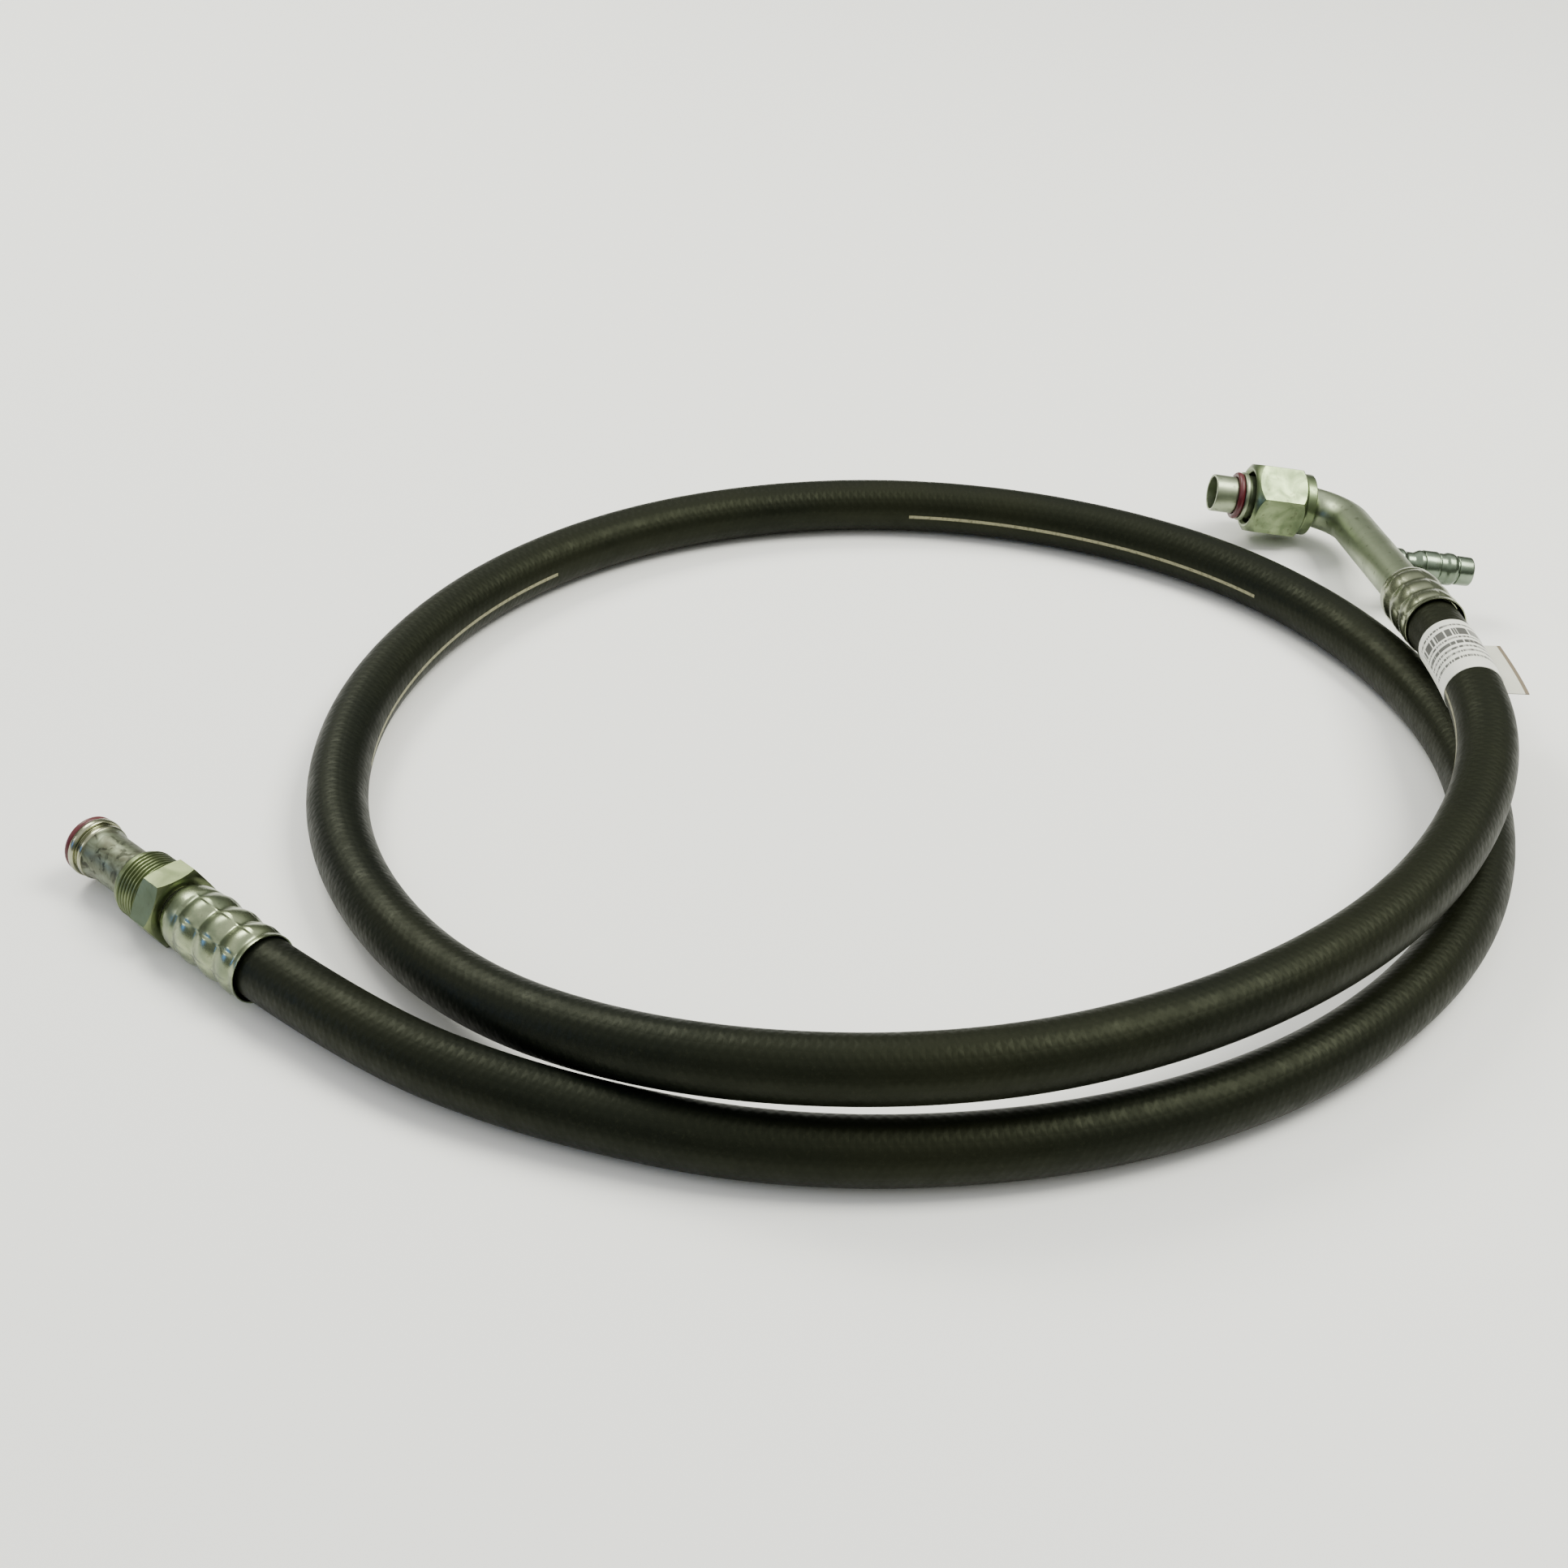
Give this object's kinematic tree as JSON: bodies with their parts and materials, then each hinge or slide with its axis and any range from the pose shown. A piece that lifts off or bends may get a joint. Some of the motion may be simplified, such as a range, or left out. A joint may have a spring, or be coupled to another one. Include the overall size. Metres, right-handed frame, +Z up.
{
  "type": "refrigerant hose assembly",
  "caption": "Coiled rubber refrigerant hose with crimped metal ends: a bent elbow tube with a female nut and service port, and a straight tube with a male nut.",
  "frame": {"origin": "centre of the bottom of the box round the two end fittings, on the plane the assembly lies on", "axes": "+Z up; the elbow fitting is towards +X +Y and the straight fitting towards -X -Y"},
  "size_m": [0.4864, 0.4065, 0.0449],
  "materials": {
    "inner_rubber": "matte",
    "barrier_film": "satin",
    "tie_rubber": "matte",
    "braid_yarn": "matte",
    "cover_rubber": "satin",
    "label_film": "satin",
    "plated_steel": "satin",
    "worn_steel": "satin",
    "seal_rubber": "satin",
    "core_brass": "satin",
    "spring_steel": "satin",
    "gasket_film": "satin"
  },
  "bodies": {
    "hose_and_tubes": {"hose_inner_tube": "inner_rubber", "hose_barrier": "barrier_film", "hose_tie_layer": "tie_rubber", "hose_braid": "braid_yarn", "hose_cover": "cover_rubber", "hose_label": "label_film", "elbow_tube": "plated_steel", "elbow_stem": "plated_steel", "elbow_ferrule": "plated_steel", "elbow_o_ring": "seal_rubber", "service_port": "plated_steel", "valve_core_body": "core_brass", "valve_gasket": "gasket_film", "valve_spring": "spring_steel", "straight_ferrule": "plated_steel", "straight_stem": "plated_steel", "straight_tube": "worn_steel", "straight_o_ring": "seal_rubber"},
    "elbow_nut": {"elbow_nut": "plated_steel"},
    "straight_nut": {"straight_nut": "plated_steel"},
    "valve_pin": {"valve_pin": "spring_steel", "valve_seal": "seal_rubber"}
  },
  "joints": [
    {"name": "elbow_nut_spin", "type": "hinge", "parent": "hose_and_tubes", "child": "elbow_nut", "pos_m": [0.17444, 0.15498, 0.01669], "axis": [-0.9886, -0.0719, 0.1319], "continuous": true},
    {"name": "straight_nut_spin", "type": "hinge", "parent": "hose_and_tubes", "child": "straight_nut", "pos_m": [-0.20837, -0.12957, 0.0115], "axis": [-0.7562, 0.6544, 0], "continuous": true},
    {"name": "valve_press", "type": "slide", "parent": "hose_and_tubes", "child": "valve_pin", "axis": [-0.9886, -0.0719, 0.1319], "range_m": [0, 0.0018], "stiffness_N_per_m": 800, "springref_m": -0.001, "deforming": ["valve_spring"]}
  ]
}
